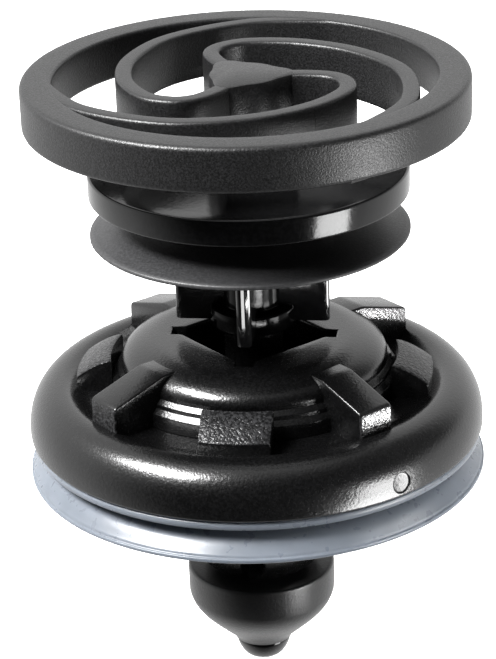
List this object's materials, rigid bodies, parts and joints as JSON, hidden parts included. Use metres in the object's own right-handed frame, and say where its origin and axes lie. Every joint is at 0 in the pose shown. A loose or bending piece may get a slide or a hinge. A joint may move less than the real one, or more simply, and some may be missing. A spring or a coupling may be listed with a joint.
{
  "type": "push-in trim panel clip",
  "caption": "Push-in trim panel clip with a floating spring-armed head ring, a domed base on a soft sealing ring, and a wedge pin that spreads legs behind the sheet.",
  "frame": {"origin": "centre of the hole in the sheet, on the sheet's outer face, where the seal's flat rim lies", "axes": "+Z along the pin's axis from the nose towards the head ring; +X to the right of the pictured view; +Y away from the camera"},
  "size_m": [0.0212, 0.0212, 0.0294],
  "materials": {
    "head_plastic": "matt moulded black, fine speckle",
    "shank_plastic": "glossy moulded black",
    "skirt_plastic": "matt charcoal",
    "base_plastic": "satin moulded black",
    "seal_rubber": "smooth grey-blue soft elastomer, slightly translucent"
  },
  "bodies": {
    "base": {"flange": "base_plastic", "dome": "base_plastic", "long_rib_1": "base_plastic", "long_rib_2": "base_plastic", "long_rib_3": "base_plastic", "long_rib_4": "base_plastic", "short_lug_1": "base_plastic", "short_lug_2": "base_plastic", "short_lug_3": "base_plastic", "short_lug_4": "base_plastic", "seal_ring": "seal_rubber"},
    "pin": {"hub_post": "head_plastic", "collar": "shank_plastic", "skirt": "skirt_plastic", "shank_core": "shank_plastic", "fin_1": "shank_plastic", "fin_2": "shank_plastic", "fin_3": "shank_plastic", "fin_4": "shank_plastic", "wedge_shank": "base_plastic", "nose_bulb": "base_plastic", "nose_tip": "shank_plastic"},
    "float_arms": {"spring_arm_1": "head_plastic", "spring_arm_2": "head_plastic", "spring_arm_3": "head_plastic"},
    "head_ring": {"head_ring": "head_plastic"},
    "leg_1": {"leg_1": "base_plastic"},
    "leg_2": {"leg_2": "base_plastic"},
    "leg_3": {"leg_3": "base_plastic"},
    "leg_4": {"leg_4": "base_plastic"}
  },
  "joints": [
    {"name": "pin_slide", "type": "slide", "parent": "base", "child": "pin", "axis": [0, 0, -1], "range_m": [0, 0.004]},
    {"name": "ring_float_x", "type": "slide", "parent": "pin", "child": "float_arms", "axis": [1, 0, 0], "range_m": [-0.0008, 0.0008], "stiffness_N_per_m": 40, "deforming": ["spring_arm_1", "spring_arm_2", "spring_arm_3"]},
    {"name": "ring_float_y", "type": "slide", "parent": "float_arms", "child": "head_ring", "axis": [0, 1, 0], "range_m": [-0.0008, 0.0008], "stiffness_N_per_m": 40},
    {"name": "leg_1_hinge", "type": "hinge", "parent": "base", "child": "leg_1", "pos_m": [0.00258, 0.00198, 0.00185], "axis": [0.6088, -0.7934, 0], "range_deg": [0, 6.5]},
    {"name": "leg_2_hinge", "type": "hinge", "parent": "base", "child": "leg_2", "pos_m": [-0.00198, 0.00258, 0.00185], "axis": [0.7934, 0.6088, 0], "range_deg": [0, 6.5]},
    {"name": "leg_3_hinge", "type": "hinge", "parent": "base", "child": "leg_3", "pos_m": [-0.00258, -0.00198, 0.00185], "axis": [-0.6088, 0.7934, 0], "range_deg": [0, 6.5]},
    {"name": "leg_4_hinge", "type": "hinge", "parent": "base", "child": "leg_4", "pos_m": [0.00198, -0.00258, 0.00185], "axis": [-0.7934, -0.6088, 0], "range_deg": [0, 6.5]}
  ],
  "couplings": [
    {"joint": "leg_1_hinge", "follows": "pin_slide", "rad_per_m": 28.3},
    {"joint": "leg_2_hinge", "follows": "pin_slide", "rad_per_m": 28.3},
    {"joint": "leg_3_hinge", "follows": "pin_slide", "rad_per_m": 28.3},
    {"joint": "leg_4_hinge", "follows": "pin_slide", "rad_per_m": 28.3}
  ]
}
